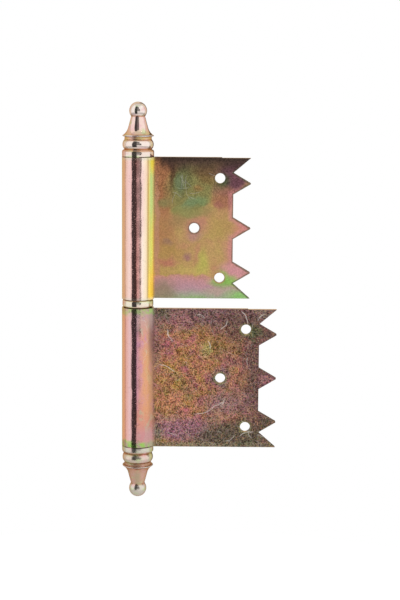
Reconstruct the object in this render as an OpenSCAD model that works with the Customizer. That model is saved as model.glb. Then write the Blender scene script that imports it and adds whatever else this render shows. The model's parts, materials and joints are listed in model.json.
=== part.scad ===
// Lift-off flag hinge: two sheet leaves, each rolled into a barrel, cranked flat and cut to teeth,
// on one fixed pin, with a loose bearing ring between the barrels and turned ball finials.
// Sizes are in millimetres. The origin is on the pin axis at the middle of the bearing ring,
// +Z runs up the pin, and both leaves point along +X, folded shut.

/* [Barrels] */
// Outside diameter of both rolled barrels
barrel_d = 16; // [14:0.5:20]
// Height of one barrel and of the leaf that it is rolled from
barrel_h = 70.9; // [64:0.1:90]
// Thickness of the sheet
sheet_t = 2.5; // [1.5:0.1:3.5]
// Gap left between the rolled edge of the sheet and its own leaf
seam_gap = 0.5; // [0.2:0.1:1]

/* [Leaves] */
// Distance from the pin axis to the middle of a leaf's thickness
leaf_offset = 3.15; // [2.5:0.05:4.5]
// Hollow radius of the crank between barrel and leaf
crank_r = 3.6; // [2:0.2:6]
// Upper leaf, from the pin axis to the roots of its teeth
upper_leaf_w = 47.4; // [40:0.2:70]
// Lower leaf, from the pin axis to the roots of its teeth
lower_leaf_w = 61; // [45:0.2:90]

/* [Teeth] */
// Length of a tooth from root to tip
tooth_depth = 8.7; // [5:0.1:12]
// Width of a tooth at its root
tooth_base = 10.8; // [8:0.2:13]
// Width of its blunt tip
tooth_tip = 0.5; // [0.2:0.1:3]
// Spacing of the three whole teeth
tooth_pitch = 22.4; // [19:0.1:26]
// Height of the small step that the punch leaves in the top edge
step_h = 0.3; // [0.1:0.05:1]
// Length of that step, back from the tips
step_l = 14.4; // [12.4:0.2:20]

/* [Fixing holes] */
// Diameter of the holes in the leaves
hole_d = 5.1; // [4:0.1:6.5]
// Distance between the two outer holes
hole_spacing = 50; // [40:0.5:56]
// Outer holes, back from the roots of the teeth
hole_edge = 6.6; // [5:0.2:12]
// Middle hole, back from the roots of the teeth
mid_hole_edge = 19.4; // [14:0.1:26]

/* [Pin] */
// Length of pin that stands in the upper barrel
pin_up = 46; // [30:1:54]
// Length of pin that is pressed into the lower barrel
pin_down = 40; // [25:1:54]
// Height of the chamfer on the pin's upper end
pin_nose = 2; // [0.5:0.1:3]
// Radial clearance of the pin in the upper barrel and the ring
run_clear = 0.05; // [0.02:0.01:0.1]
// Radial clearance of the pieces that are fixed in a barrel
seat_clear = 0.02; // [0.01:0.01:0.04]

/* [Bearing ring] */
// Height of the ring
ring_h = 4.3; // [3:0.1:8]
// How far the ring stays inside the barrel's outline
ring_inset = 0.25; // [0:0.05:0.6]
// Rounding of the ring's outer edges
ring_edge = 1.3; // [0.4:0.1:1.4]

/* [Finials] */
// Length of the spigot inside the barrel
spigot_l = 12; // [6:0.5:15]
// How far the collar stays inside the barrel's outline
collar_inset = 0.05; // [0:0.05:0.6]
// Height of the straight collar
collar_h = 2.6; // [2:0.1:5]
// Rounding of the collar down to the groove
shoulder_r = 1.2; // [0.3:0.05:1.4]
// Height of the bead above the groove
bead_h = 4.9; // [3:0.1:7]
// How far the bead swells out of the groove
bead_proud = 1; // [0.3:0.05:1.2]
// Height of the plain neck between bead and rim
cove_h = 1.5; // [0.5:0.1:2.5]
// Thickness of the thin rim
rim_t = 0.7; // [0.4:0.05:1.2]
// How far the rim stands out of the groove
rim_proud = 1; // [0.2:0.05:1.1]
// Height of the hollow flare above the rim
flare_h = 3.7; // [2.4:0.1:5]
// Diameter where the flare runs into the taper
waist_d = 9.8; // [8.4:0.1:10.4]
// Height of the taper
taper_h = 5.45; // [4:0.05:9]
// Diameter of the neck under the ball
neck_d = 6.9; // [5:0.1:8]
// Diameter of the ball
ball_d = 8.8; // [8.2:0.1:12]

/* [Hidden] */
$fn = 96;

barrel_r = barrel_d / 2;
bore_r = barrel_r - sheet_t;
barrel_end = ring_h / 2 + barrel_h;
leaf_mid_z = ring_h / 2 + barrel_h / 2;

// The crank's centre: its hollow side touches the barrel's outside and the leaf's outer face.
crank_y = leaf_offset + sheet_t / 2 + crank_r;
crank_x = sqrt(pow(barrel_r + crank_r, 2) - pow(crank_y, 2));
// The sheet's rolled edge stops short of the leaf's inner face.
seam_a = asin((leaf_offset - sheet_t / 2 - seam_gap) / barrel_r);
reach = 3 * (barrel_r + crank_r);

ring_wall = barrel_r - ring_inset - bore_r;
ring_round = min(ring_edge, 0.45 * ring_h, 0.7 * ring_wall);

// Heights and radii of the finial's profile, from the barrel's end outwards
collar_r = barrel_r - collar_inset;
groove_r = collar_r - shoulder_r;
groove_z = collar_h + shoulder_r;
bead_r = (pow(bead_h / 2, 2) + pow(bead_proud, 2)) / (2 * bead_proud);
rim_z = groove_z + bead_h + cove_h;
rim_r = groove_r + rim_proud;
flare_z = rim_z + rim_t;
flare_r = rim_r - rim_t / 2;
waist_r = waist_d / 2;
waist_z = flare_z + flare_h;
neck_r = neck_d / 2;
neck_z = waist_z + taper_h;
ball_r = ball_d / 2;
ball_z = neck_z + sqrt(pow(ball_r, 2) - pow(neck_r, 2));

// The flare is an arc through the rim that meets the taper's side smoothly.
taper_slope = (waist_r - neck_r) / taper_h;
taper_len = sqrt(1 + pow(taper_slope, 2));
flare_side = [1 / taper_len, taper_slope / taper_len];
flare_step = [flare_r - waist_r, -flare_h];
flare_arc = (flare_step * flare_step) / (2 * (flare_side * flare_step));

// The bent sheet seen along the pin, with its leaf on the +Y side
module sheet_section(tip_x) {
    difference() {
        circle(r = barrel_r);
        circle(r = bore_r);
        polygon([
            [0, 0],
            reach * [cos(seam_a), sin(seam_a)],
            [reach, crank_y],
            [crank_x, crank_y]
        ]);
    }
    intersection() {
        translate([crank_x, crank_y]) difference() {
            circle(r = crank_r + sheet_t);
            circle(r = crank_r);
        }
        polygon([[0, 0], [crank_x, 0], [crank_x, crank_y]]);
    }
    translate([crank_x, leaf_offset - sheet_t / 2])
        square([tip_x - crank_x, sheet_t]);
}

// The cut outline of barrel and leaf, X across and Z up, about the leaf's mid-height
module leaf_outline(root_x) {
    tip_x = root_x + tooth_depth;
    half = barrel_h / 2;
    teeth = [
        for (i = [-1, 0, 1])
            each [
                [root_x, i * tooth_pitch - tooth_base / 2],
                [tip_x, i * tooth_pitch - tooth_tip / 2],
                [tip_x, i * tooth_pitch + tooth_tip / 2],
                [root_x, i * tooth_pitch + tooth_base / 2]
            ]
    ];
    polygon(concat(
        [[-reach, -half], [tip_x, -half]],
        teeth,
        [[tip_x, half - step_h], [tip_x - step_l, half - step_h]],
        [[tip_x - step_l, half], [-reach, half]]
    ));
}

module fixing_hole(x, z) {
    translate([x, 0, z]) rotate([90, 0, 0])
        cylinder(d = hole_d, h = 2 * reach, center = true);
}

// One leaf with its barrel, about its mid-height, with the leaf on the +Y side
module leaf(root_x) {
    difference() {
        intersection() {
            linear_extrude(height = barrel_h, center = true)
                sheet_section(root_x + tooth_depth);
            rotate([90, 0, 0]) linear_extrude(height = 2 * reach, center = true)
                leaf_outline(root_x);
        }
        for (side = [-1, 1])
            fixing_hole(root_x - hole_edge, side * hole_spacing / 2);
        fixing_hole(root_x - mid_hole_edge, 0);
    }
}

// One turned finial, from the barrel's end outwards
module finial() {
    rotate_extrude() {
        translate([0, -spigot_l]) square([bore_r - seat_clear, spigot_l]);
        square([collar_r, collar_h]);
        square([groove_r, flare_z]);
        translate([groove_r, collar_h]) circle(r = shoulder_r);
        intersection() {
            translate([groove_r + bead_proud - bead_r, groove_z + bead_h / 2])
                circle(r = bead_r);
            translate([0, groove_z]) square([barrel_r + bead_proud, bead_h]);
        }
        translate([0, rim_z]) square([flare_r, rim_t]);
        translate([flare_r, rim_z + rim_t / 2]) circle(r = rim_t / 2);
        difference() {
            polygon([[0, flare_z], [flare_r, flare_z], [waist_r, waist_z], [0, waist_z]]);
            translate([waist_r, waist_z] + flare_arc * flare_side) circle(r = flare_arc);
        }
        polygon([[0, waist_z], [waist_r, waist_z], [neck_r, neck_z], [0, neck_z]]);
        intersection() {
            translate([0, ball_z]) circle(r = ball_r);
            translate([0, neck_z]) square([ball_r, 2 * ball_r]);
        }
    }
}

module upper_leaf() {
    color([0.72, 0.60, 0.40])
        translate([0, 0, leaf_mid_z]) leaf(upper_leaf_w);
}

module lower_leaf() {
    color([0.66, 0.48, 0.36])
        translate([0, 0, -leaf_mid_z]) mirror([0, 1, 0]) leaf(lower_leaf_w);
}

module hinge_pin() {
    pin_r = bore_r - run_clear;
    color([0.62, 0.62, 0.64]) {
        translate([0, 0, -ring_h / 2 - pin_down])
            cylinder(r = bore_r - seat_clear, h = pin_down);
        translate([0, 0, -ring_h / 2])
            cylinder(r = pin_r, h = ring_h + pin_up - pin_nose);
        translate([0, 0, ring_h / 2 + pin_up - pin_nose])
            cylinder(r1 = pin_r, r2 = pin_r - pin_nose / 2, h = pin_nose);
    }
}

module bearing_ring() {
    ring_r = barrel_r - ring_inset;
    flat_r = ring_r - ring_round;
    color([0.85, 0.78, 0.66])
        translate([0, 0, -ring_h / 2]) rotate_extrude() {
            translate([bore_r, 0]) square([flat_r - bore_r, ring_h]);
            translate([bore_r, ring_round])
                square([ring_r - bore_r, ring_h - 2 * ring_round]);
            intersection() {
                for (z = [ring_round, ring_h - ring_round])
                    translate([flat_r, z]) circle(r = ring_round);
                translate([bore_r, 0]) square([ring_r - bore_r, ring_h]);
            }
        }
}

module upper_finial() {
    color([0.86, 0.76, 0.66]) translate([0, 0, barrel_end]) finial();
}

module lower_finial() {
    color([0.86, 0.76, 0.66]) translate([0, 0, -barrel_end]) mirror([0, 0, 1]) finial();
}

upper_leaf();
lower_leaf();
hinge_pin();
bearing_ring();
upper_finial();
lower_finial();
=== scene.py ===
import json
import math

import bpy
from mathutils import Matrix, Vector


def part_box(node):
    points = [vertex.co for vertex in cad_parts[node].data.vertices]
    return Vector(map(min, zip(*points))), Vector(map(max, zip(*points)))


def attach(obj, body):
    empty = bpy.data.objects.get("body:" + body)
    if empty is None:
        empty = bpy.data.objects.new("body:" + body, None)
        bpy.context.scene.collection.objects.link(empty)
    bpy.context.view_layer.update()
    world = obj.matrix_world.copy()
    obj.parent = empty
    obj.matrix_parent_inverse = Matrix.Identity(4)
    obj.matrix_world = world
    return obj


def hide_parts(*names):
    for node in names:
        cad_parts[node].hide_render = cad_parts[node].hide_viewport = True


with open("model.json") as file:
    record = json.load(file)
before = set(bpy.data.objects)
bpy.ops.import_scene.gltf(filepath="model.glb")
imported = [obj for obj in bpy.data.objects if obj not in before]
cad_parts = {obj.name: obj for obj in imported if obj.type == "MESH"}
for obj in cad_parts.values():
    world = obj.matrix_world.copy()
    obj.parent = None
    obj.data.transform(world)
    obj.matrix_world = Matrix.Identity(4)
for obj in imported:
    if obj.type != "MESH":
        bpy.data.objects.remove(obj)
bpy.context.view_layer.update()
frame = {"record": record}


# Lower leaf. One strip of 2.5 mm steel sheet: the end is punched to teeth, the other end is bent
# back and rolled into the barrel that holds the pin. It was tumbled before it was zinc plated and
# yellow passivated, so its flat is grainy and scratched under a rust, plum and olive film.

MM = 0.001


def frame_size(length):
    """A length from the frame's meshes, to the hundredth of a millimetre."""
    return round(length / MM, 2) * MM


leaf_low, leaf_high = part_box("lower_leaf")
barrel_r = frame_size(-leaf_low[1])
barrel_h = frame_size(leaf_high[2] - leaf_low[2])
ring_h = frame_size(-2 * leaf_high[2])
lower_tip_x = frame_size(leaf_high[0])

mounts = {mount["name"]: mount for mount in frame["record"]["mounts"]}
lower_screws = mounts["frame_leaf_screws"]
lower_middle = mounts["frame_leaf_middle_hole"]
hole_r = lower_middle["dims"]["r_mm"] * MM
sheet_t = lower_middle["dims"]["length_mm"] * MM
leaf_y = abs(lower_middle["pos_m"][1])

crank_r = 3.6 * MM
crank_y = leaf_y + sheet_t / 2 + crank_r
crank_x = math.sqrt((barrel_r + crank_r) ** 2 - crank_y ** 2)
crank_at = Vector((crank_x, crank_y, 0.0))
crank_steps = 12
seam_gap = 0.5 * MM
seam_turn = math.asin((leaf_y - sheet_t / 2 - seam_gap) / barrel_r)
roll_steps = 78
tooth_depth = 8.7 * MM
tooth_base = 10.8 * MM
tooth_tip = 0.5 * MM
tooth_pitch = 22.4 * MM
step_h = 0.3 * MM
step_l = 14.4 * MM
hole_sides = 72
deburr = 0.35 * MM
smooth_angle = math.radians(35)
sharp_angle = math.radians(40)
hair = 0.01 * MM
merge_gap = 0.0005 * MM


def start_vertex(name, at):
    """Adds a plane, merges it to one vertex at the given place and leaves it in edit mode."""
    bpy.ops.object.select_all(action='DESELECT')
    bpy.ops.mesh.primitive_plane_add(size=MM, location=(0, 0, 0))
    piece = bpy.context.object
    piece.name = name
    piece.data.name = name
    bpy.ops.object.mode_set(mode='EDIT')
    bpy.ops.mesh.select_mode(type='VERT')
    bpy.ops.mesh.select_all(action='SELECT')
    bpy.ops.mesh.merge(type='CENTER')
    bpy.ops.transform.translate(value=at)
    return piece


def draw_outline(points):
    """Extrudes the selected vertex from point to point."""
    for here, there in zip(points, points[1:]):
        step = Vector(there) - Vector(here)
        bpy.ops.mesh.extrude_vertices_move(TRANSFORM_OT_translate={"value": step})


def pick(piece, test):
    """Selects the vertices that pass the test, and the edges and faces between them."""
    bpy.ops.mesh.select_mode(type='VERT')
    bpy.ops.object.mode_set(mode='OBJECT')
    for part in (piece.data.polygons, piece.data.edges):
        for item in part:
            item.select = False
    for vertex in piece.data.vertices:
        vertex.select = test(vertex.co)
    bpy.ops.object.mode_set(mode='EDIT')


def close_up():
    """Merges doubles, turns all faces outwards and leaves edit mode."""
    bpy.ops.mesh.select_all(action='SELECT')
    bpy.ops.mesh.remove_doubles(threshold=merge_gap)
    bpy.ops.mesh.normals_make_consistent(inside=False)
    bpy.ops.object.mode_set(mode='OBJECT')


def finish_with(piece, kind, **settings):
    """Adds a modifier and applies it."""
    modifier = piece.modifiers.new(kind.title(), kind)
    for key, value in settings.items():
        setattr(modifier, key, value)
    bpy.context.view_layer.objects.active = piece
    bpy.ops.object.modifier_apply(modifier=modifier.name)


def leaf_holes(screws, middle):
    """The x and z of a leaf's holes, from its mounts: the lower, the upper and the middle one."""
    x, _, z = screws["pos_m"]
    half = screws["dims"]["spacing_y_mm"] * MM / 2
    return [(x, z - half), (x, z + half), (middle["pos_m"][0], middle["pos_m"][2])]


def toothed_blank(tip_x):
    """The outline of a leaf's flat, x and z, from the crank round the toothed end and back."""
    root_x = tip_x - tooth_depth
    half = barrel_h / 2
    teeth = []
    for row in (-1, 0, 1):
        middle = row * tooth_pitch
        teeth += [(root_x, middle - tooth_base / 2), (tip_x, middle - tooth_tip / 2)]
        teeth += [(tip_x, middle + tooth_tip / 2), (root_x, middle + tooth_base / 2)]
    outline = [(crank_at.x, -half), (tip_x, -half)] + teeth
    outline += [(tip_x, half - step_h), (tip_x - step_l, half - step_h)]
    return outline + [(tip_x - step_l, half), (crank_at.x, half)]


def drill_holes(leaf, holes, side):
    """Drills the holes through the flat."""
    drills = []
    for x, z in holes:
        bpy.ops.object.select_all(action='DESELECT')
        bpy.ops.mesh.primitive_cylinder_add(
            vertices=hole_sides, radius=hole_r, depth=4 * sheet_t,
            location=(x, side * leaf_y, z), rotation=(math.pi / 2, 0, 0))
        drills.append(bpy.context.object)
    for drill in drills:
        finish_with(leaf, 'BOOLEAN', operation='DIFFERENCE', solver='EXACT', object=drill)
    bpy.ops.object.select_all(action='DESELECT')
    for drill in drills:
        drill.select_set(True)
    bpy.ops.object.delete()


def rolled_leaf(name, tip_x, holes, side):
    """Gives the toothed blank its thickness, cranks and rolls it, drills it and breaks its edges."""
    inner_y = leaf_y - sheet_t / 2
    points = [(x, inner_y, z) for x, z in toothed_blank(tip_x)]
    leaf = start_vertex(name, points[0])
    draw_outline(points)
    bpy.ops.mesh.select_all(action='SELECT')
    bpy.ops.mesh.edge_face_add()
    bpy.ops.mesh.extrude_region_move(TRANSFORM_OT_translate={"value": (0, sheet_t, 0)})

    # The crank turns about its own centre, then the barrel rolls about the pin.
    pick(leaf, lambda co: co.x < crank_at.x + hair)
    crank_turn = math.atan2(crank_at.x, crank_at.y)
    bpy.ops.mesh.spin(steps=crank_steps, angle=crank_turn, center=crank_at, axis=(0, 0, 1))
    roll_turn = 2 * math.pi + seam_turn - (math.pi / 2 - crank_turn)
    bpy.ops.mesh.spin(steps=roll_steps, angle=-roll_turn, center=(0, 0, 0), axis=(0, 0, 1))

    bpy.ops.mesh.select_all(action='SELECT')
    if side < 0:
        bpy.ops.transform.resize(value=(1, -1, 1), center_override=(0, 0, 0))
    mid_z = holes[2][1]
    bpy.ops.transform.translate(value=(0, 0, mid_z))
    close_up()

    drill_holes(leaf, holes, side)
    bpy.ops.object.select_all(action='DESELECT')
    leaf.select_set(True)
    bpy.context.view_layer.objects.active = leaf
    bpy.ops.object.shade_smooth_by_angle(angle=smooth_angle)
    finish_with(leaf, 'BEVEL', width=deburr, segments=2, limit_method='ANGLE',
                angle_limit=sharp_angle, harden_normals=True)
    return leaf


def srgb(red, green, blue):
    """A colour as a screen shows it, 0 to 255, in the linear values that a shader takes."""
    linear = []
    for part in (red, green, blue):
        part = part / 255
        linear.append(part / 12.92 if part <= 0.04045 else ((part + 0.055) / 1.055) ** 2.4)
    return (*linear, 1.0)


def put(tree, kind, wires, **settings):
    """Adds a shader node. Wires give each input a socket or a value."""
    node = tree.nodes.new(kind)
    for key, value in settings.items():
        setattr(node, key, value)
    for key, value in wires.items():
        if isinstance(value, bpy.types.NodeSocket):
            tree.links.new(value, node.inputs[key])
        else:
            node.inputs[key].default_value = value
    return node


def metal(name):
    """A new material: its tree, its shader and the place on the piece in millimetres."""
    material = bpy.data.materials.new(name)
    material.use_nodes = True
    tree = material.node_tree
    shader = tree.nodes["Principled BSDF"]
    spot = put(tree, "ShaderNodeTexCoord", {}).outputs["Object"]
    place = put(tree, "ShaderNodeMapping", {"Vector": spot, "Scale": (1 / MM, 1 / MM, 1 / MM)})
    return material, tree, shader, place.outputs[0]


def axis(tree, place, letter):
    """One coordinate of a place or of a direction."""
    return put(tree, "ShaderNodeSeparateXYZ", {0: place}).outputs[letter]


def grain(tree, place, size, detail=2.0, stretch=(1, 1, 1), output="Fac"):
    """Noise whose lumps are about the given size in millimetres."""
    spread = put(tree, "ShaderNodeMapping", {"Vector": place, "Scale": stretch}).outputs[0]
    wires = {"Vector": spread, "Scale": 1 / size, "Detail": detail}
    return put(tree, "ShaderNodeTexNoise", wires).outputs[output]


def fade(tree, value, low, high, to_low=0.0, to_high=1.0, smooth=True):
    """Runs a value softly from one level to another."""
    wires = {"Value": value, "From Min": low, "From Max": high, "To Min": to_low, "To Max": to_high}
    kind = 'SMOOTHSTEP' if smooth else 'LINEAR'
    return put(tree, "ShaderNodeMapRange", wires, interpolation_type=kind).outputs[0]


def sums(tree, kind, first, second=0.0, third=0.0):
    """One step of arithmetic, by the name that Blender gives it."""
    return put(tree, "ShaderNodeMath", {0: first, 1: second, 2: third}, operation=kind).outputs[0]


def times(tree, first, *others):
    """Several values multiplied together."""
    for other in others:
        first = sums(tree, 'MULTIPLY', first, other)
    return first


def most(tree, first, *others):
    """The largest of several values."""
    for other in others:
        first = sums(tree, 'MAXIMUM', first, other)
    return first


def colours(tree, value, stops):
    """A run of colours along a value from 0 to 1."""
    ramp = put(tree, "ShaderNodeValToRGB", {"Fac": value})
    row = ramp.color_ramp.elements
    while len(row) < len(stops):
        row.new(0.5)
    for element, (position, colour) in zip(row, stops):
        element.position = position
        element.color = srgb(*colour)
    return ramp.outputs[0]


def lay_over(tree, below, above, share, kind='MIX'):
    """Lays one colour over another where the share says. A Mix node has its colours in sockets 6
    and 7, and gives the mixed colour as its output 2."""
    return put(tree, "ShaderNodeMix", {0: share, 6: below, 7: above},
               data_type='RGBA', blend_type=kind).outputs[2]


def lay_films(tree, film, rows):
    """Lays thin films over a colour, one after another: the tint and the share of each."""
    for tint, share in rows:
        film = lay_over(tree, film, srgb(*tint), share)
    return film


def stir(tree, place, size, reach, detail=1.0):
    """Moves the place about by noise, so that edges of stains wander."""
    noise = grain(tree, place, size, detail, output="Color")
    centred = put(tree, "ShaderNodeVectorMath", {0: noise, 1: (0.5, 0.5, 0.5)}, operation='SUBTRACT')
    wires = {0: centred.outputs[0], 1: (reach, reach, reach), 2: place}
    return put(tree, "ShaderNodeVectorMath", wires, operation='MULTIPLY_ADD').outputs[0]


def stain(tree, place, x, z, wide, high, lean=0.0, heart=0.15):
    """1 in the heart of an oval through the leaf, fading to 0 at its edge, in millimetres."""
    through = 1000
    wires = {"Vector": place, "Location": (x, 0, z), "Rotation": (0, math.radians(-lean), 0),
             "Scale": (wide, through, high)}
    oval = put(tree, "ShaderNodeMapping", wires, vector_type='TEXTURE').outputs[0]
    reach = put(tree, "ShaderNodeVectorMath", {0: oval}, operation='LENGTH').outputs["Value"]
    return fade(tree, reach, 1.0, heart)


def shade(tree, place, film, rows):
    """Lays soft ovals over a film: x, z, half width, half height, strength, tint, lean and heart."""
    for x, z, wide, high, strength, tint, *more in rows:
        share = times(tree, stain(tree, place, x, z, wide, high, *more), strength)
        film = lay_over(tree, film, srgb(*tint), share)
    return film


def away_from(tree, place, x, z):
    """How far a place is from a point, looking square at the leaf, in millimetres."""
    flat = put(tree, "ShaderNodeVectorMath", {0: place, 1: (1, 0, 1)}, operation='MULTIPLY').outputs[0]
    gap = put(tree, "ShaderNodeVectorMath", {0: flat, 1: (x, 0, z)}, operation='DISTANCE')
    return gap.outputs["Value"]


def hole_ring(tree, place, film, hole, inner, outer, strength, tint):
    """Lays a soft ring of colour round a hole."""
    share = fade(tree, away_from(tree, place, *hole), outer, inner, 0, strength)
    return lay_over(tree, film, srgb(*tint), share)


def strokes(tree, place, length, width, way):
    """Noise drawn out into short strokes that lie at an angle on the leaf, sizes in millimetres."""
    wires = {"Vector": place, "Rotation": (0, math.radians(way), 0), "Scale": (length, 1, width)}
    laid = put(tree, "ShaderNodeMapping", wires, vector_type='TEXTURE').outputs[0]
    noise = put(tree, "ShaderNodeTexNoise", {"Vector": laid, "Scale": 1.0, "Detail": 1.0})
    return noise.outputs["Fac"]


def scratches(tree, place, rows):
    """1 along bent scratches: centre x, z, radius, the way its middle lies, half length, half width."""
    full_width = 0.3
    full_length = 0.6
    lines = []
    for x, z, radius, way, length, width in rows:
        bearing = math.radians(way)
        middle_x = x + radius * math.cos(bearing)
        middle_z = z + radius * math.sin(bearing)
        off = sums(tree, 'ABSOLUTE', sums(tree, 'SUBTRACT', away_from(tree, place, x, z), radius))
        along = away_from(tree, place, middle_x, middle_z)
        line = fade(tree, off, width, width * full_width)
        lines.append(times(tree, line, fade(tree, along, length, length * full_length)))
    return most(tree, *lines)


def cut_edges_and_highlight(tree, place, film):
    """Sheared edges round the leaf: dark, with a painted highlight, pale, on the edge along its top that
    faces up.
    """
    facing = put(tree, "ShaderNodeTexCoord", {}).outputs["Normal"]
    edge = fade(tree, sums(tree, 'ABSOLUTE', axis(tree, facing, "Y")), 0.80, 0.45)
    edge = times(tree, edge, fade(tree, axis(tree, place, "X"), 9.6, 10.6))
    # Painted highlight: edge faces that point up get a pale tint.
    upward_highlight = fade(tree, axis(tree, facing, "Z"), 0.85, 0.97)
    tint = lay_over(tree, srgb(74, 56, 44), srgb(184, 154, 116), upward_highlight)
    return lay_over(tree, film, tint, edge)


def round_the_pin(tree, place):
    """How far round the pin, 0 to 1, with 0.5 on the side of the lower leaf's face."""
    behind = times(tree, axis(tree, place, "Y"), -1.0)
    turn = sums(tree, 'ARCTAN2', axis(tree, place, "X"), behind)
    return sums(tree, 'MULTIPLY_ADD', turn, 1 / (2 * math.pi), 0.5)


def roll_marks(tree, place, shader, roughness, relief, on_leaf):
    """The rolled part isn't quite true: slow dents, fine tooling and small dull specks."""
    dent_depth = 0.3 * MM
    tooling_depth = 0.04 * MM
    roll = sums(tree, 'SUBTRACT', 1.0, on_leaf)
    dents = times(tree, sums(tree, 'SUBTRACT', grain(tree, place, 10.0, detail=1.0), 0.5), roll)
    dents = put(tree, "ShaderNodeBump", {"Strength": 1.0, "Distance": dent_depth, "Height": dents})
    tooling = times(tree, grain(tree, place, 0.45, detail=1.0), roll)
    height = sums(tree, 'MULTIPLY_ADD', tooling, 0.8, relief)
    bump = put(tree, "ShaderNodeBump", {
        "Strength": 0.6, "Distance": tooling_depth, "Height": height, "Normal": dents.outputs[0]})
    tree.links.new(bump.outputs[0], shader.inputs["Normal"])
    specks = times(tree, fade(tree, grain(tree, place, 0.6, detail=1.0), 0.63, 0.70), roll)
    roughness = sums(tree, 'MULTIPLY_ADD', specks, 0.40, roughness)
    tree.links.new(roughness, shader.inputs["Roughness"])


def worn_flat(tree, place, holes):
    """The film on the tumbled flat: rust and gold, plum along the edges, dark olive at the foot."""
    wander = stir(tree, stir(tree, place, 9.0, 7.0), 2.8, 4.0, detail=2.0)
    film = colours(tree, grain(tree, wander, 7.0), [
        (0.30, (146, 116, 68)), (0.42, (162, 114, 72)), (0.55, (168, 108, 80)), (0.70, (154, 97, 90))])
    bloom = grain(tree, stir(tree, place, 4.0, 2.2, detail=2.0), 6.0)
    film = lay_films(tree, film, [
        ((150, 68, 100), fade(tree, bloom, 0.53, 0.66, 0, 0.55)),
        ((152, 118, 40), fade(tree, bloom, 0.47, 0.34, 0, 0.55))])
    film = shade(tree, wander, film, [
        (36, -2.5, 64, 13, 0.95, (108, 76, 80), 0, 0.45),
        (52, -11, 16, 10, 0.85, (96, 64, 64), 0, 0.3),
        (20, -8.5, 11, 6, 0.75, (150, 98, 102)),
        (12, -5, 7, 4.5, 0.85, (82, 80, 64)),
        (9.5, -18, 5, 22, 0.80, (128, 88, 90)),
        (64, -36, 18, 46, 0.92, (90, 62, 64), 0, 0.42),
        (49, -18, 10, 9, 0.75, (108, 74, 58)),
        (33, -13, 8, 5, 0.6, (146, 104, 66)),
        (27.2, -18.8, 3.4, 4.2, 0.8, (156, 82, 98)),
        (41, -21, 10, 9, 0.75, (134, 100, 58)),
        (34, -23.5, 4, 5, 0.75, (162, 148, 90)),
        (46, -30, 7, 6, 0.6, (136, 94, 82)),
        (*holes[2], 7.5, 7.5, 0.95, (108, 80, 88), 0, 0.3),
        (52, -39, 6, 7, 0.7, (152, 108, 74)),
        (66, -37.6, 7, 6, 0.8, (136, 88, 98)),
        (25.3, -43.5, 9, 6, 0.6, (148, 118, 70)),
        (17, -51, 9, 7, 0.75, (184, 118, 88)),
        (45, -51, 17, 11, 0.85, (130, 100, 100)),
        (22, -64, 22, 10, 0.95, (146, 98, 114), 0, 0.35),
        (9.5, -66, 5, 8, 0.8, (112, 106, 90)),
        (48, -68, 29, 10.5, 0.95, (74, 68, 58), 0, 0.40),
        (38, -60, 9, 6, 0.6, (128, 100, 92)),
        (66, -60, 7, 6, 0.7, (78, 72, 56)),
        (64, -71, 6, 4, 0.6, (112, 84, 74)),
        (66, -5, 8, 5, 0.8, (112, 94, 84)),
        (58, -13.5, 5.5, 5.5, 0.9, (62, 72, 44), 0, 0.3),
        (53, -61, 5, 5, 0.6, (76, 74, 50))])
    for hole in holes:
        film = hole_ring(tree, place, film, hole, 2.9, 3.9, 0.8, (112, 112, 72))
    foot = fade(tree, axis(tree, place, "Z"), -69.8, -71.6, 0, 0.75)
    return lay_over(tree, film, srgb(114, 106, 84), foot)


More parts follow.
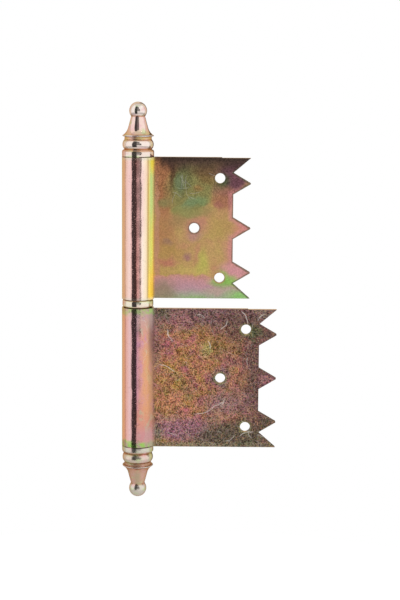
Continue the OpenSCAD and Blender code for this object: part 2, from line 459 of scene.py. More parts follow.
def worn_roll_and_reflections(tree, place):
    """The colour of the lower barrel: reflection bands painted round the pin over its film, pink and
    amber clouds, painted plum shade beside the leaf, green at its ends.
    """
    turn = round_the_pin(tree, place)
    along = axis(tree, place, "Z")
    # The ramp round the pin paints reflection bands as well as film: pale strips, a mauve middle and a
    # dark band at the limb beside the leaf.
    film = colours(tree, turn, [
        (0.05, (205, 160, 150)), (0.275, (234, 206, 174)), (0.335, (248, 192, 160)),
        (0.365, (226, 164, 146)), (0.42, (232, 190, 190)), (0.50, (220, 158, 154)),
        (0.585, (220, 160, 138)), (0.66, (190, 150, 116)), (0.72, (150, 112, 92)),
        (0.80, (170, 130, 120)), (0.97, (205, 160, 150))])
    front = times(tree, fade(tree, turn, 0.46, 0.50), fade(tree, turn, 0.95, 0.78))
    cloud = grain(tree, place, 9.0, detail=3.0, stretch=(1, 1, 0.5))
    bloom = grain(tree, stir(tree, place, 3.0, 2.5), 4.0, detail=3.0, stretch=(1, 1, 0.5))
    amber = times(
        tree, fade(tree, turn, 0.53, 0.58), fade(tree, turn, 0.70, 0.64),
        fade(tree, along, -18.0, -28.0, 0, 0.55), fade(tree, along, -62.0, -50.0))
    violet = times(
        tree, fade(tree, turn, 0.455, 0.475), fade(tree, turn, 0.535, 0.495, 0, 0.55),
        fade(tree, along, -58.0, -46.0))
    # Painted shade: plum darkening on the barrel's limb where it turns into the leaf, stronger towards the
    # top.
    plum = times(
        tree, fade(tree, turn, 0.60, 0.67), front, fade(tree, along, -42.0, -14.0, 0.35, 0.95))
    scuffs = scratches(tree, stir(tree, place, 2.0, 1.0), [
        (2.5, -9.5, 1.7, 60, 1.8, 0.25), (3.4, -13.0, 1.6, 200, 1.8, 0.22),
        (3.0, -17.5, 2.2, 300, 2.2, 0.22), (2.0, -12.0, 2.8, 10, 2.2, 0.20),
        (1.6, -24.0, 3.0, 340, 2.6, 0.20), (5.0, -29.0, 2.0, 150, 2.0, 0.20)])
    film = lay_films(tree, film, [
        ((222, 142, 152), times(tree, front, fade(tree, cloud, 0.54, 0.66, 0, 0.7))),
        ((216, 148, 126), times(tree, front, fade(tree, along, -38.0, -56.0, 0, 0.7))),
        ((206, 146, 174), times(tree, front, fade(tree, bloom, 0.47, 0.36, 0, 0.6))),
        ((184, 190, 160), times(tree, front, fade(tree, bloom, 0.53, 0.64, 0, 0.5))),
        ((230, 170, 112), amber),
        ((204, 146, 170), violet),
        ((130, 90, 90), plum),
        ((190, 168, 162), times(tree, front, fade(tree, along, -17.0, -6.0, 0, 0.6))),
        ((202, 146, 154), times(tree, front, fade(tree, along, -60.0, -67.0, 0, 0.7))),
        ((226, 220, 212), times(tree, front, scuffs, 0.28))])
    height = axis(tree, stir(tree, place, 3.2, 5.0, detail=2.0), "Z")
    ends = most(
        tree, fade(tree, height, -69.0, -71.6, 0, 0.85), fade(tree, height, -6.0, -3.6, 0, 0.55))
    lime = fade(tree, grain(tree, place, 3.0), 0.42, 0.60)
    green = lay_over(tree, srgb(172, 168, 138), srgb(144, 206, 84), lime)
    return lay_over(tree, film, green, ends)


def tumble_marks(tree, place):
    """What the tumbling left on the flat: its pale strokes, and its pits with some dark lines."""
    curl = stir(tree, place, 2.4, 1.0)
    pale = [fade(tree, strokes(tree, curl, 2.0, 0.26, way), 0.56, 0.68) for way in (12, 58, 100, 145)]
    deep = [fade(tree, grain(tree, place, 0.5, detail=1.5), 0.54, 0.36)]
    for way in (38, 152):
        deep.append(fade(tree, strokes(tree, curl, 2.4, 0.40, way), 0.56, 0.70, 0, 0.9))
    return most(tree, *pale), most(tree, *deep)


def worn_grit(tree, place, film, pale, deep):
    """Lays the tumbled grain, small painted glints, coloured flecks and the scratches on the flat's film.
    """
    light = sums(tree, 'MULTIPLY_ADD', deep, -0.56, 0.63)
    light = sums(tree, 'MULTIPLY_ADD', pale, 1.40, light)
    film = lay_over(tree, film, light, 1.0, 'MULTIPLY')
    # Painted glints: sparse golden specks laid on the grain as highlights.
    painted_glint = fade(tree, grain(tree, place, 0.5, detail=1.0), 0.63, 0.69, 0, 0.55)
    film = lay_films(tree, film, [
        ((226, 206, 186), times(tree, pale, 0.08)), ((226, 178, 122), painted_glint)])
    film = lay_over(tree, film, grain(tree, place, 0.7, output="Color"), 0.60, 'OVERLAY')
    scored = [scratches(tree, stir(tree, place, 2.6, 1.5), [
        (22.5, -13.0, 7.5, 205, 4.2, 0.32), (48.0, -9.0, 7.0, 25, 4.2, 0.25),
        (38.5, -7.0, 6.5, -35, 3.6, 0.22), (30.0, -43.0, 13.0, -75, 5.5, 0.25),
        (34.0, -21.0, 2.6, 20, 2.4, 0.30), (9.0, -45.0, 14.5, 65, 5.0, 0.25),
        (45.0, -60.0, 10.0, 120, 4.5, 0.22), (58.0, -74.0, 9.0, 110, 4.5, 0.22),
        (56.0, -58.0, 7.0, 260, 3.2, 0.20), (50.0, -66.0, 7.0, 40, 3.6, 0.20),
        (62.0, -64.0, 6.0, 200, 3.2, 0.20), (60.0, -76.0, 9.0, 70, 3.4, 0.20),
        (44.0, -64.0, 6.0, 300, 3.0, 0.18), (66.0, -10.0, 6.0, 140, 2.8, 0.20),
        (30.0, -9.0, 4.0, 60, 2.6, 0.20), (20.0, -60.0, 7.0, 250, 3.2, 0.18),
        (38.0, -47.0, 6.0, 330, 3.0, 0.18), (62.0, -28.0, 7.0, 190, 2.8, 0.18)])]
    swirl = stir(tree, place, 7.0, 4.0)
    for way in (25, 82, 140):
        fine_hair = fade(tree, strokes(tree, swirl, 7.0, 0.24, way), 0.69, 0.76)
        scored.append(times(tree, fine_hair, 0.6))
    film = lay_over(tree, film, srgb(214, 206, 198), times(tree, most(tree, *scored), 0.75))
    return cut_edges_and_highlight(tree, place, film)


lower_holes = leaf_holes(lower_screws, lower_middle)
lower_leaf = rolled_leaf("lower_leaf_sheet", lower_tip_x, lower_holes, -1)

worn_zinc, tree, shader, place = metal("worn_yellow_zinc")
on_leaf = fade(tree, axis(tree, place, "X"), 6.8, 9.2)
flat_film = worn_flat(tree, place, [(x / MM, z / MM) for x, z in lower_holes])
pale, deep = tumble_marks(tree, place)
grit = worn_grit(tree, place, flat_film, pale, deep)
film = lay_over(tree, worn_roll_and_reflections(tree, place), grit, on_leaf)
tree.links.new(film, shader.inputs["Base Color"])
shader.inputs["Specular Tint"].default_value = (0.80, 0.62, 0.44, 1)
tree.links.new(sums(tree, 'MULTIPLY_ADD', on_leaf, -0.57, 0.95), shader.inputs["Metallic"])
roughness = sums(tree, 'MULTIPLY_ADD', on_leaf, 0.30, 0.10)
roughness = sums(tree, 'MULTIPLY_ADD', times(tree, deep, on_leaf), 0.12, roughness)
relief = times(tree, sums(tree, 'SUBTRACT', pale, deep), on_leaf, 0.52)
roll_marks(tree, place, shader, roughness, relief, on_leaf)

lower_leaf.data.materials.append(worn_zinc)
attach(lower_leaf, "frame_leaf")
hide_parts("lower_leaf")


# Hinge pin. A plain turned steel pin, pressed into the lower barrel and standing up into the
# upper one, with a chamfered nose so that the door can be lowered on to it. Bare, lightly oiled.

pin_low, pin_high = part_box("hinge_pin")
pin_foot = frame_size(pin_low[2])
pin_top = frame_size(pin_high[2])
bore_r = barrel_r - sheet_t
seat_clear = 0.02 * MM
run_clear = 0.05 * MM
pin_seat_r = bore_r - seat_clear
pin_run_r = bore_r - run_clear
pin_foot_edge = 0.5 * MM
nose_l = 2.0 * MM
nose_start_l = 0.3 * MM
nose_start_in = 0.08 * MM
nose_in = 0.9 * MM
nose_edge = 0.2 * MM
turned_steps = 96
turned_angle = math.radians(28)
lathe_mark_depth = 0.04 * MM


def turned(name, profile):
    """Draws half a section, radius and height, and spins it about the pin axis."""
    points = [(radius, 0, height) for radius, height in profile]
    piece = start_vertex(name, points[0])
    draw_outline(points)
    bpy.ops.mesh.select_all(action='SELECT')
    bpy.ops.mesh.spin(steps=turned_steps, angle=2 * math.pi, center=(0, 0, 0), axis=(0, 0, 1))
    close_up()
    bpy.ops.object.shade_smooth_by_angle(angle=turned_angle)
    return piece


hinge_pin = turned("hinge_pin_steel", [
    (0, pin_foot), (pin_seat_r - pin_foot_edge, pin_foot), (pin_seat_r, pin_foot + pin_foot_edge),
    (pin_seat_r, -ring_h / 2), (pin_run_r, -ring_h / 2),
    (pin_run_r, pin_top - nose_l - nose_start_l), (pin_run_r - nose_start_in, pin_top - nose_l),
    (pin_run_r - nose_in, pin_top - nose_edge), (pin_run_r - nose_in - nose_edge, pin_top),
    (0, pin_top)])

pin_steel, tree, shader, place = metal("turned_steel")
shader.inputs["Metallic"].default_value = 1.0
cloud = grain(tree, place, 9.0, detail=3.0)
lathe_marks = grain(tree, place, 0.5, stretch=(0.02, 0.02, 1))
colour = colours(tree, cloud, [(0.3, (176, 174, 174)), (0.55, (202, 200, 198)), (0.75, (186, 180, 172))])
colour = lay_over(tree, colour, srgb(120, 116, 112), fade(tree, lathe_marks, 0.5, 0.3, 0, 0.5))
tree.links.new(colour, shader.inputs["Base Color"])
tree.links.new(fade(tree, lathe_marks, 0.3, 0.7, 0.20, 0.34), shader.inputs["Roughness"])
bump = put(tree, "ShaderNodeBump", {
    "Strength": 0.2, "Distance": lathe_mark_depth, "Height": lathe_marks})
tree.links.new(bump.outputs[0], shader.inputs["Normal"])

hinge_pin.data.materials.append(pin_steel)
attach(hinge_pin, "frame_leaf")
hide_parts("hinge_pin")


# Bearing ring. A loose turned ring with well rounded edges that slips over the pin and carries
# the upper barrel. Bright steel with a thin, pale yellow zinc.

ring_r = frame_size(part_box("bearing_ring")[1][0])
ring_edge = 1.3 * MM
ring_haze = 0.07
ring_tints = [
    (0.0, (238, 226, 206)), (0.9, (240, 234, 212)), (1.35, (236, 226, 190)), (1.7, (190, 158, 112)),
    (1.95, (96, 72, 54)), (2.15, (70, 52, 42))]
fine_mark_depth = 0.03 * MM


def arc(x, z, radius, first, last, count):
    """Points along an arc of the section, by its angles in degrees."""
    rows = []
    for i in range(count + 1):
        angle = math.radians(first + (last - first) * i / count)
        rows.append((x + radius * math.cos(angle), z + radius * math.sin(angle)))
    return rows


ring_profile = [(bore_r, -ring_h / 2)]
ring_profile += arc(ring_r - ring_edge, -ring_h / 2 + ring_edge, ring_edge, -90, 0, 12)
ring_profile += arc(ring_r - ring_edge, ring_h / 2 - ring_edge, ring_edge, 0, 90, 12)
ring_profile += [(bore_r, ring_h / 2), (bore_r, -ring_h / 2)]
bearing_ring = turned("bearing_ring_zinc", ring_profile)


def between(tree, value, low, high, soft):
    """1 where a value lies between two levels, 0 outside, with soft borders."""
    past_low = fade(tree, value, low - soft, low + soft)
    before_high = fade(tree, value, high + soft, high - soft)
    return times(tree, past_low, before_high)


def bright_zinc(name, start, length, haze, tints, hollow=None, cloud=None):
    """Turned steel under a thin clear film, bright or with some haze. Its tints run along the piece
    from the start, the distance from the ring's middle, in millimetres. A hollow that the
    polishing missed, and a cloud of painted reflection on the front, are given by where they start and
    end."""
    material, tree, shader, place = metal(name)
    shader.inputs["Metallic"].default_value = 0.96
    shader.inputs["Specular Tint"].default_value = (0.72, 0.50, 0.32, 1)
    height = axis(tree, stir(tree, place, 4.0, 0.35), "Z")
    along = sums(tree, 'SUBTRACT', sums(tree, 'ABSOLUTE', height), start)
    run = fade(tree, along, 0, length, smooth=False)
    drift = grain(tree, place, 4.0, stretch=(0.8, 0.8, 1.2))
    colour = colours(tree, run, [(at / length, tint) for at, tint in tints])
    colour = lay_films(tree, colour, [
        ((204, 224, 166), fade(tree, drift, 0.54, 0.68, 0, 0.60)),
        ((236, 188, 190), fade(tree, drift, 0.46, 0.32, 0, 0.60))])
    if cloud:
        # Painted reflection: a darker cloud on the front, the side of the lower leaf's face, between the
        # given heights.
        low, high, tint = cloud
        aside = sums(tree, 'ABSOLUTE', sums(tree, 'SUBTRACT', round_the_pin(tree, place), 0.5))
        share = times(
            tree, fade(tree, aside, 0.10, 0.01), fade(tree, along, low, low + 2.5),
            fade(tree, along, high, high - 1.0, 0, 0.6))
        colour = lay_over(tree, colour, srgb(*tint), share)
    tree.links.new(colour, shader.inputs["Base Color"])
    roughness = fade(tree, drift, 0.3, 0.7, haze, haze + 0.06)
    if hollow:
        hollow_soft = 0.2
        inside = between(tree, along, *hollow, hollow_soft)
        roughness = sums(tree, 'MULTIPLY_ADD', inside, 0.32, roughness)
    tree.links.new(roughness, shader.inputs["Roughness"])
    lathe_marks = grain(tree, place, 0.35, stretch=(0.02, 0.02, 1))
    bump = put(tree, "ShaderNodeBump", {
        "Strength": 0.10, "Distance": fine_mark_depth, "Height": lathe_marks})
    tree.links.new(bump.outputs[0], shader.inputs["Normal"])
    return material


bearing_ring.data.materials.append(bright_zinc(
    "bright_zinc_ring", 0.0, ring_h / 2 / MM, ring_haze, ring_tints))
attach(bearing_ring, "ring")
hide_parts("bearing_ring")


# Upper leaf. The same blank as the lower one, with a shorter flat and cranked to the other side,
# so that it drops over the pin. It was plated from smooth sheet: satin, with soft clouds of teal,
# orange, pink and green where the yellow film is thicker or thinner.

upper_tip_x = frame_size(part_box("upper_leaf")[1][0])
upper_screws = mounts["door_leaf_screws"]
upper_middle = mounts["door_leaf_middle_hole"]
upper_mid_z = upper_middle["pos_m"][2]


def end_gap(tree, place, root_x, mid_z):
    """How far a place lies inside the toothed end of a leaf, in millimetres."""
    up = sums(tree, 'ABSOLUTE', sums(tree, 'SUBTRACT', axis(tree, place, "Z"), mid_z / MM))
    root = sums(tree, 'SUBTRACT', root_x / MM, axis(tree, place, "X"))
    tooth_half = tooth_base / 2
    corner_half = barrel_h / 2 - tooth_pitch - tooth_half
    gaps = [root]
    for middle, half in ((0.0, tooth_half), (tooth_pitch, tooth_half), (barrel_h / 2, corner_half)):
        off = sums(tree, 'ABSOLUTE', sums(tree, 'SUBTRACT', up, middle / MM))
        slope = tooth_depth / half
        flank = sums(tree, 'MULTIPLY_ADD', off, -slope, sums(tree, 'ADD', root, tooth_depth / MM))
        gaps.append(times(tree, flank, 1 / math.sqrt(1 + slope ** 2)))
    return most(tree, *gaps)


def rainbow_stains_and_reflections(tree, wander, middle_hole):
    """The main film on the satin flat: dark at its head, with brown, teal, gold and orange clouds; a
    brown band and a dark streak beside the barrel are painted reflection, and a pale strip along the crank
    is a painted highlight.
    """
    film = colours(tree, grain(tree, wander, 8.0), [
        (0.30, (188, 164, 96)), (0.45, (190, 156, 100)), (0.55, (190, 150, 102)), (0.70, (194, 140, 108))])
    return shade(tree, wander, film, [
        # Painted reflection: a brown band beside the barrel, where the sheet bends slightly near the
        # crank.
        (13, 62, 7.5, 24, 0.95, (164, 110, 78), 0, 0.5),
        (13, 36, 9, 18, 0.7, (176, 122, 88)),
        (26, 57, 15, 17, 0.95, (134, 130, 80), 0, 0.55),
        (22, 63, 7, 11, 0.8, (108, 110, 70), 0, 0.4),
        # Painted reflection: a dark streak at the edge of that bend.
        (16.4, 65, 2.3, 13, 0.80, (84, 58, 44), 0, 0.2),
        (20.5, 60, 4, 8, 0.6, (106, 124, 94)),
        (34, 66, 10, 6, 0.9, (110, 84, 58), 0, 0.3),
        (33.5, 61.5, 6, 3.6, 0.7, (126, 100, 62)),
        (29.6, 57.5, 3.4, 3, 0.6, (148, 104, 64)),
        (22.5, 47.5, 7, 3.2, 0.8, (126, 140, 98), 18, 0.3),
        (27.5, 51, 7.5, 3.2, 0.75, (118, 142, 100), 20, 0.2),
        (32, 51, 5, 3.6, 0.65, (122, 142, 94), 0, 0.2),
        (13, 49.6, 6, 3.6, 0.85, (142, 134, 88), 4),
        (20.5, 45.5, 6, 6, 0.8, (144, 140, 84), 0, 0.3),
        (48, 64, 13, 13, 1.0, (110, 72, 82), 0, 0.4),
        (43.5, 51.5, 9, 7.5, 0.9, (158, 106, 82), 0, 0.3),
        (39, 58, 5, 5.5, 0.75, (124, 98, 76)),
        (44, 55.5, 6, 3.5, 0.6, (146, 98, 88)),
        (34, 45.5, 7, 4.5, 0.8, (158, 140, 90)),
        (26, 45, 9, 4.5, 0.7, (150, 146, 92)),
        (20, 40.5, 9, 4.5, 0.6, (162, 134, 90)),
        (40.7, 48.5, 3.2, 3.4, 0.6, (166, 104, 96)),
        (42, 38, 11, 9, 0.7, (180, 148, 90)),
        (*middle_hole, 8, 8, 0.85, (190, 130, 116)),
        (28.6, 33, 5, 3.5, 0.6, (182, 132, 134)),
        (14.2, 30.2, 3, 3, 0.6, (150, 116, 106)),
        (17, 25.5, 10, 6, 0.7, (182, 144, 86)),
        (24.5, 23.6, 3.2, 3.8, 0.85, (164, 114, 114)),
        (14.5, 20.2, 7.5, 2.8, 0.8, (188, 122, 102)),
        (28, 15.8, 14, 3.8, 0.9, (198, 172, 102)),
        (38, 25, 6, 9, 0.6, (194, 164, 102)),
        (32.5, 20, 4.4, 9, 0.9, (190, 182, 94)),
        (47, 26, 6, 13, 0.8, (200, 144, 120)),
        (53, 37.6, 8, 7, 0.9, (202, 134, 116)),
        # Painted highlight: a pale strip along the crank's round.
        (9.2, 28, 1.9, 44, 0.8, (192, 144, 116), 0, 0.5)])


def rainbow_flat(tree, place, holes):
    """The whole film on the satin flat: the main one, a pink fringe at the teeth, lilac and green
    along the foot, a dark head, and rings round the holes."""
    low_hole, high_hole, middle_hole = holes
    wander = stir(tree, stir(tree, place, 9.0, 4.6), 3.0, 2.6, detail=2.0)
    film = rainbow_stains_and_reflections(tree, wander, middle_hole)
    height = axis(tree, wander, "Z")
    across = axis(tree, place, "X")
    nearby = stir(tree, place, 3.0, 1.0, detail=2.0)
    inside = end_gap(tree, nearby, upper_tip_x - tooth_depth, upper_mid_z)
    fringe = times(tree, fade(tree, inside, 3.4, 1.0, 0, 0.5), fade(tree, height, 60.0, 53.0))
    film = lay_over(tree, film, srgb(212, 136, 146), fringe)
    low_film = colours(tree, fade(tree, height, 2.0, 14.5, smooth=False), [
        (0.0, (150, 180, 124)), (0.10, (168, 178, 148)), (0.24, (177, 167, 157)),
        (0.48, (190, 148, 158)), (0.74, (202, 148, 150)), (1.0, (198, 146, 116))])
    film = lay_over(tree, film, low_film, fade(tree, height, 14.2, 13.2))
    film = shade(tree, wander, film, [
        (12, 5, 12, 9, 0.8, (154, 136, 112), 0, 0.3),
        (49, 15.8, 11, 6.4, 0.95, (212, 150, 156)),
        (44, 11, 11, 4.2, 0.95, (142, 192, 92)),
        (39, 6, 10, 3, 0.7, (190, 164, 150)),
        (51, 4.5, 10, 5, 0.80, (140, 202, 106)),
        (low_hole[0] + 1, low_hole[1] - 1, 5.8, 5.8, 0.8, (134, 178, 88))])
    head = times(tree, fade(tree, height, 63.0, 71.5, 0, 0.95), fade(tree, across, 9.8, 12.5, 0.3, 1))
    film = lay_films(tree, film, [
        ((84, 86, 62), fade(tree, inside, 0.85, 0.35, 0, 0.65)),
        ((66, 50, 47), head),
        ((52, 42, 38), fade(tree, axis(tree, place, "Z"), 70.6, 72.2, 0, 0.6))])
    film = shade(tree, place, film, [
        (high_hole[0] + 1.2, high_hole[1] - 1.2, 5.6, 5.6, 0.85, (62, 82, 48))])
    film = hole_ring(tree, place, film, middle_hole, 2.6, 3.6, 0.75, (112, 92, 80))
    return hole_ring(tree, place, film, low_hole, 2.6, 3.4, 0.6, (186, 120, 90))


def rainbow_roll_and_reflections(tree, place, beside):
    """The colour of the upper barrel: reflection bands painted round the pin over its cream and pink
    film, with aqua, amber and yellow beside the leaf, which are film tints and a painted grazing sheen.
    """
    turn = round_the_pin(tree, place)
    along = axis(tree, place, "Z")
    # The ramp round the pin paints reflection bands as well as film: cream highlights, a darker pink
    # middle stripe and tan limbs.
    film = colours(tree, turn, [
        (0.05, (214, 176, 140)), (0.278, (244, 222, 184)), (0.345, (240, 192, 160)),
        (0.365, (230, 182, 158)), (0.415, (248, 216, 208)), (0.485, (238, 162, 152)),
        (0.515, (246, 184, 176)), (0.55, (255, 236, 222)), (0.592, (250, 228, 190)),
        (0.612, (196, 164, 100)), (0.66, (222, 234, 124)), (0.70, (236, 222, 112)),
        (0.85, (190, 140, 100)), (0.97, (214, 176, 140))])
    cloud = grain(tree, place, 18.0, stretch=(1, 1, 0.4))
    # Aqua, amber and yellow on the limb beside the leaf are film tints and a painted grazing sheen.
    aqua = times(
        tree, fade(tree, along, 34.0, 50.0, 0, 0.42), fade(tree, along, 70.0, 62.0),
        fade(tree, turn, 0.625, 0.65))
    amber = fade(tree, sums(tree, 'MULTIPLY_ADD', cloud, 16.0, along), 34.0, 14.0, 0, 0.9)
    yellow = times(
        tree, beside, fade(tree, along, 63.0, 71.0, 0, 0.9), fade(tree, turn, 0.635, 0.665))
    off_middle = sums(tree, 'ABSOLUTE', sums(tree, 'SUBTRACT', along, upper_mid_z / MM))
    return lay_films(tree, film, [
        ((172, 222, 172), aqua),
        ((255, 206, 70), times(tree, beside, amber)),
        ((255, 230, 80), yellow),
        ((240, 190, 190), fade(tree, cloud, 0.45, 0.30, 0, 0.45)),
        ((216, 214, 196), times(tree, fade(tree, off_middle, 33.6, 35.0), 0.45))])


def satin_marks(tree, place):
    """What plating and handling left on the satin flat: fine specks, and some thin scratches."""
    speck = grain(tree, place, 0.55, detail=1.0)
    scored = scratches(tree, stir(tree, place, 3.0, 1.0), [
        (4.0, 58.0, 18.5, 10, 3.6, 0.22), (10.0, 54.0, 14.5, 30, 3.6, 0.20),
        (27.0, 66.0, 11.0, -85, 3.2, 0.20), (32.0, 58.0, 8.5, 210, 3.0, 0.20),
        (26.0, 50.0, 9.0, 160, 3.6, 0.20), (30.0, 60.0, 8.0, 250, 2.2, 0.20),
        (36.0, 60.0, 12.5, 178, 4.6, 0.20), (8.0, 62.0, 14.0, -4, 4.2, 0.20),
        (22.0, 74.0, 16.5, -88, 3.4, 0.18), (38.0, 72.0, 18.0, 222, 3.0, 0.18),
        (14.0, 44.0, 12.0, 62, 3.2, 0.18), (41.0, 75.0, 11.5, -110, 2.4, 0.18)])
    return speck, scored


def satin_mottle(tree, place, film, speck, scored):
    """Lays the specks, stronger towards the head, and the scratches on the flat's film."""
    strong = fade(tree, axis(tree, place, "Z"), 44.0, 62.0, 0.5, 1.35)
    fine = times(tree, fade(tree, speck, 0.28, 0.72, -0.34, 0.34, smooth=False), strong)
    film = lay_over(tree, film, sums(tree, 'ADD', fine, 1.0), 1.0, 'MULTIPLY')
    film = lay_over(tree, film, srgb(200, 194, 186), times(tree, scored, 0.30))
    return cut_edges_and_highlight(tree, place, film)


upper_holes = leaf_holes(upper_screws, upper_middle)
upper_leaf = rolled_leaf("upper_leaf_sheet", upper_tip_x, upper_holes, 1)

satin_zinc, tree, shader, place = metal("rainbow_yellow_zinc")
on_leaf = fade(tree, axis(tree, place, "X"), 7.4, 8.6)
turn = round_the_pin(tree, place)
beside = times(tree, fade(tree, turn, 0.605, 0.635), fade(tree, turn, 0.92, 0.76))
flat_film = rainbow_flat(tree, place, [(x / MM, z / MM) for x, z in upper_holes])
speck, scored = satin_marks(tree, place)
mottle = satin_mottle(tree, place, flat_film, speck, scored)
film = lay_over(tree, rainbow_roll_and_reflections(tree, place, beside), mottle, on_leaf)
tree.links.new(film, shader.inputs["Base Color"])
shader.inputs["Specular Tint"].default_value = (0.82, 0.66, 0.46, 1)
satin = most(tree, on_leaf, times(tree, beside, 0.8))
tree.links.new(sums(tree, 'MULTIPLY_ADD', satin, -0.57, 0.95), shader.inputs["Metallic"])
speck_on_leaf = times(tree, speck, on_leaf)
roughness = sums(tree, 'MULTIPLY_ADD', on_leaf, 0.28, 0.08)
roughness = sums(tree, 'MULTIPLY_ADD', speck_on_leaf, 0.08, roughness)
relief = times(tree, sums(tree, 'MULTIPLY_ADD', speck_on_leaf, 0.6, scored), 0.25)
roll_marks(tree, place, shader, roughness, relief, on_leaf)

upper_leaf.data.materials.append(satin_zinc)
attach(upper_leaf, "door_leaf")
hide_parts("upper_leaf")


# Finials. Two turned steel finials, each with a plain collar, a bead, a thin rim, a hollow flare,
# a taper and a ball, pressed by a hidden spigot into the open end of each barrel. Bright zinc.

spigot_l = 12.0 * MM
spigot_r = bore_r - seat_clear
spigot_edge = 0.4 * MM
collar_inset = 0.05 * MM
collar_r = barrel_r - collar_inset
collar_h = 2.6 * MM
collar_edge = 0.15 * MM
shoulder_r = 1.2 * MM
groove_r = collar_r - shoulder_r
groove_z = collar_h + shoulder_r
bead_h = 4.9 * MM
bead_proud = 1.0 * MM
bead_arc = ((bead_h / 2) ** 2 + bead_proud ** 2) / (2 * bead_proud)
cove_h = 1.5 * MM
cove_edge_h = 0.1 * MM
cove_edge_out = 0.05 * MM
rim_z = groove_z + bead_h + cove_h
rim_t = 0.7 * MM
rim_proud = 1.0 * MM
flare_z = rim_z + rim_t
flare_r = groove_r + rim_proud - rim_t / 2
flare_h = 3.7 * MM
waist_r = 4.9 * MM
waist_z = flare_z + flare_h
taper_h = 5.45 * MM
neck_r = 3.45 * MM
neck_z = waist_z + taper_h
ball_r = 4.4 * MM
ball_z = neck_z + math.sqrt(ball_r ** 2 - neck_r ** 2)
finial_h = ball_z + ball_r
barrel_end = ring_h / 2 + barrel_h
seat_line = (88, 66, 54)
seat_line_h = 0.35 * MM
seat_fade_h = 0.6 * MM
crease_h = 0.45 * MM


def finial_profile():
    """Half the finial's section, from the spigot's end to the top of the ball."""
    rows = [(0, -spigot_l), (spigot_r - spigot_edge, -spigot_l)]
    rows += [(spigot_r, -spigot_l + spigot_edge), (spigot_r, 0)]
    rows += arc(collar_r - collar_edge, collar_edge, collar_edge, -90, 0, 3)
    rows += arc(groove_r, collar_h, shoulder_r, 0, 90, 8)
    bead_half = math.degrees(math.asin(bead_h / 2 / bead_arc))
    bead_x = groove_r + bead_proud - bead_arc
    rows += arc(bead_x, groove_z + bead_h / 2, bead_arc, -bead_half, bead_half, 16)
    rows += [(groove_r, rim_z - cove_edge_h), (groove_r + cove_edge_out, rim_z)]
    rows += arc(flare_r, rim_z + rim_t / 2, rim_t / 2, -90, 90, 8)
    # The hollow flare is one arc that ends square to the taper's side, so it runs into the taper.
    side = Vector((1.0, (waist_r - neck_r) / taper_h)).normalized()
    step = Vector((flare_r - waist_r, -flare_h))
    flare_arc = step.dot(step) / (2 * side.dot(step))
    hollow = Vector((waist_r, waist_z)) + flare_arc * side
    first = math.degrees(math.atan2(flare_z - hollow.y, flare_r - hollow.x)) % 360
    last = math.degrees(math.atan2(-side.y, -side.x)) % 360
    rows += arc(hollow.x, hollow.y, flare_arc, first, last, 12)[1:]
    start = math.degrees(math.atan2(neck_z - ball_z, neck_r))
    rows += arc(0, ball_z, ball_r, start, 90, 24)
    rows[-1] = (0, finial_h)
    return rows


def finial(name, way, body, node, haze, tint, cloud=None):
    """Turns one finial, up or down, and gives each part its tint, with thin darker creases between them,
    painted shade.
    """
    piece = turned(name, [(radius, way * (barrel_end + height)) for radius, height in finial_profile()])
    bead_end = groove_z + bead_h
    # The crease tint is painted shade: a darker, warmer line where one part turns into the next.
    rows = [
        (0, seat_line), (seat_line_h, seat_line),
        (seat_fade_h, tint["collar"]), (collar_h, tint["collar"]),
        (groove_z - 1.5 * crease_h, tint["crease"]), (groove_z - 0.3 * crease_h, tint["groove"]),
        (groove_z + 0.8 * crease_h, tint["crease"]), (groove_z + 2.4 * crease_h, tint["bead"]),
        (bead_end - 2.4 * crease_h, tint["bead"]), (bead_end, tint["crease"]),
        (bead_end + 1.7 * crease_h, tint["cove"]), (rim_z - 0.2 * crease_h, tint["crease"]),
        (rim_z + rim_t / 2, tint["rim"]), (flare_z + 0.4 * crease_h, tint["flare"]),
        (waist_z, tint["taper"]), (neck_z - crease_h, tint["taper"]),
        (neck_z, tint["crease"]), (neck_z + 2 * crease_h, tint["ball"])]
    tints = [(height / MM, colour) for height, colour in rows]
    hollow = (bead_end / MM, rim_z / MM)
    piece.data.materials.append(bright_zinc(
        "bright_zinc_" + node, barrel_end / MM, finial_h / MM, haze, tints, hollow, cloud))
    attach(piece, body)
    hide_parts(node)


# Darker than the upper finial's tints: partly duller zinc, partly painted shade for the dim floor mirrored
# below it.
lower_tint_and_shade = {
    "crease": (190, 142, 108), "collar": (214, 206, 192), "groove": (212, 190, 168),
    "bead": (224, 206, 190), "cove": (204, 168, 142), "rim": (212, 208, 200),
    "flare": (216, 166, 140), "taper": (224, 180, 158), "ball": (222, 212, 200)}
# Painted reflection: an olive cloud on the front of the lower finial's flare and taper.
lower_front_reflection = (12.5, 20.6, (184, 176, 142))
finial("lower_finial_zinc", -1, "frame_leaf", "lower_finial", 0.20, lower_tint_and_shade, lower_front_reflection)

upper_tint = {
    "crease": (206, 152, 108), "collar": (242, 226, 214), "groove": (240, 220, 198),
    "bead": (246, 230, 220), "cove": (240, 212, 150), "rim": (224, 228, 236),
    "flare": (234, 196, 164), "taper": (244, 216, 206), "ball": (244, 230, 222)}
finial("upper_finial_zinc", 1, "door_leaf", "upper_finial", 0.06, upper_tint)


# Studio. A white paper floor well below the hinge, one soft box as the main lamp, and a white world.
# Its darker zones stand for the gaps between large reflectors, their edges and the dim room behind
# the camera, which the bright barrels and finials mirror.

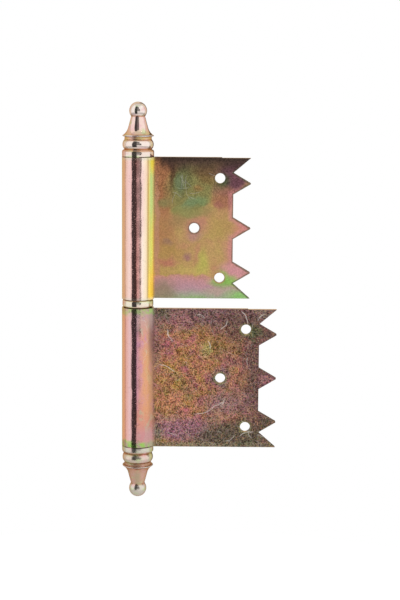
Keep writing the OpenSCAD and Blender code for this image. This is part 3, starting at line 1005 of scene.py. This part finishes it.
floor_z = -0.25
floor_r = 0.42
floor_sides = 96
paper_tone = 0.35
paper_glow = 0.85
paper_mirrored = 0.25
bpy.ops.object.select_all(action='DESELECT')
bpy.ops.mesh.primitive_circle_add(
    vertices=floor_sides, radius=floor_r, fill_type='NGON', location=(0, 0, floor_z))
floor = bpy.context.object
floor.name = "floor"
paper = bpy.data.materials.new("white_paper")
paper.use_nodes = True
tree = paper.node_tree
tree.nodes.remove(tree.nodes["Principled BSDF"])
ray = put(tree, "ShaderNodeLightPath", {})
mirrored = most(tree, ray.outputs["Is Glossy Ray"], ray.outputs["Is Transmission Ray"])
seen = most(tree, ray.outputs["Is Camera Ray"], times(tree, mirrored, paper_mirrored))
matt = put(tree, "ShaderNodeBsdfDiffuse", {"Color": (paper_tone, paper_tone, paper_tone, 1)})
glow = put(tree, "ShaderNodeEmission", {"Color": (1, 1, 1, 1), "Strength": times(tree, seen, paper_glow)})
both = put(tree, "ShaderNodeAddShader", {0: matt.outputs[0], 1: glow.outputs[0]})
tree.links.new(both.outputs[0], tree.nodes["Material Output"].inputs["Surface"])
floor.data.materials.append(paper)

world = bpy.data.worlds.new("white_studio")
bpy.context.scene.world = world
world.use_nodes = True
tree = world.node_tree
sky = tree.nodes["Background"]
way = put(tree, "ShaderNodeTexCoord", {}).outputs["Generated"]
degrees = 180 / math.pi
nearer = times(tree, axis(tree, way, "Y"), -1.0)
aside = times(tree, sums(tree, 'ARCTAN2', axis(tree, way, "X"), nearer), degrees)
above = times(tree, sums(tree, 'ARCSINE', axis(tree, way, "Z")), degrees)
leaning = sums(tree, 'MULTIPLY_ADD', above, -1.15, aside)
turned_away = sums(tree, 'ABSOLUTE', aside)
rear_tint = (0.80, 0.70, 0.58, 1)

# The zones, by degrees aside from the camera and above the horizon, and how soft their borders are.
gap = times(tree, between(tree, aside, -44, -7, 3), between(tree, above, -50, 57, 4))
edge = times(tree, between(tree, leaning, 21.5, 31.5, 2), between(tree, above, -9.0, -1.0, 0.15))
edge_top = times(tree, between(tree, aside, 18, 26, 2), between(tree, above, -1.0, 22, 0.15))
lintel = times(tree, between(tree, aside, -42, 25, 3), between(tree, above, 3, 22, 3))
lintel_top = times(tree, between(tree, aside, -42, 15, 3), between(tree, above, 22, 50, 3))
room = times(
    tree, between(tree, aside, -11, 18, 3), fade(tree, above, -13, -3.2), fade(tree, above, 8, 3))
rim = times(tree, between(tree, turned_away, 98, 105, 3), between(tree, above, -40, 57, 4))
rear_gap = times(tree, between(tree, aside, 146, 170, 4), between(tree, above, -40, 57, 4))
ceiling = fade(tree, above, 54, 61)
ground = fade(tree, above, -16, -24)

dark_front = most(
    tree, times(tree, gap, 0.98), times(tree, most(tree, edge, edge_top), 0.95),
    times(tree, most(tree, lintel, lintel_top), 0.84), times(tree, room, 0.76))
level = sums(tree, 'SUBTRACT', 1.0, dark_front)
for share, amount in ((rim, 0.35), (rear_gap, 0.85), (ceiling, 0.25), (ground, 0.45)):
    level = times(tree, level, sums(tree, 'MULTIPLY_ADD', share, -amount, 1.0))
to_camera = put(tree, "ShaderNodeLightPath", {}).outputs["Is Camera Ray"]
tree.links.new(most(tree, level, to_camera), sky.inputs["Strength"])
warm_rear = times(tree, fade(tree, turned_away, 94, 114), sums(tree, 'SUBTRACT', 1.0, to_camera))
tree.links.new(lay_over(tree, (1, 1, 1, 1), rear_tint, warm_rear), sky.inputs["Color"])

soft_box_at = Vector((0.5, -0.55, 0.75))
soft_box_wide = 0.6
soft_box_high = 0.4
soft_box_watts = 14.0
hinge_middle = Vector((0.03, 0, 0))
bpy.ops.object.light_add(type='AREA', location=soft_box_at)
soft_box = bpy.context.object
soft_box.name = "soft_box"
soft_box.data.shape = 'RECTANGLE'
soft_box.data.size = soft_box_wide
soft_box.data.size_y = soft_box_high
soft_box.data.energy = soft_box_watts
soft_box.visible_glossy = False
soft_box.rotation_euler = (hinge_middle - soft_box_at).to_track_quat('-Z', 'Y').to_euler()


# Camera. It stands a little above the hinge, square to its leaves and rolled by less than half a
# degree, with the lens that the photograph's perspective asks for.

view_from = 0.771
view_up = math.radians(8.85)
view_roll = math.radians(0.43)
lens_mm = 61.38
sensor_mm = 24.0
aim = Vector((0.03119, 0.0, 0.00157))
camera = bpy.data.objects.new("camera", bpy.data.cameras.new("camera"))
bpy.context.scene.collection.objects.link(camera)
camera.data.sensor_fit = 'VERTICAL'
camera.data.sensor_height = sensor_mm
camera.data.lens = lens_mm
stand = aim + view_from * Vector((0, -math.cos(view_up), math.sin(view_up)))
facing = Matrix.Rotation(math.pi / 2 - view_up, 4, 'X') @ Matrix.Rotation(view_roll, 4, 'Z')
camera.matrix_world = Matrix.Translation(stand) @ facing
bpy.context.scene.camera = camera
bpy.context.scene.view_settings.view_transform = 'Standard'
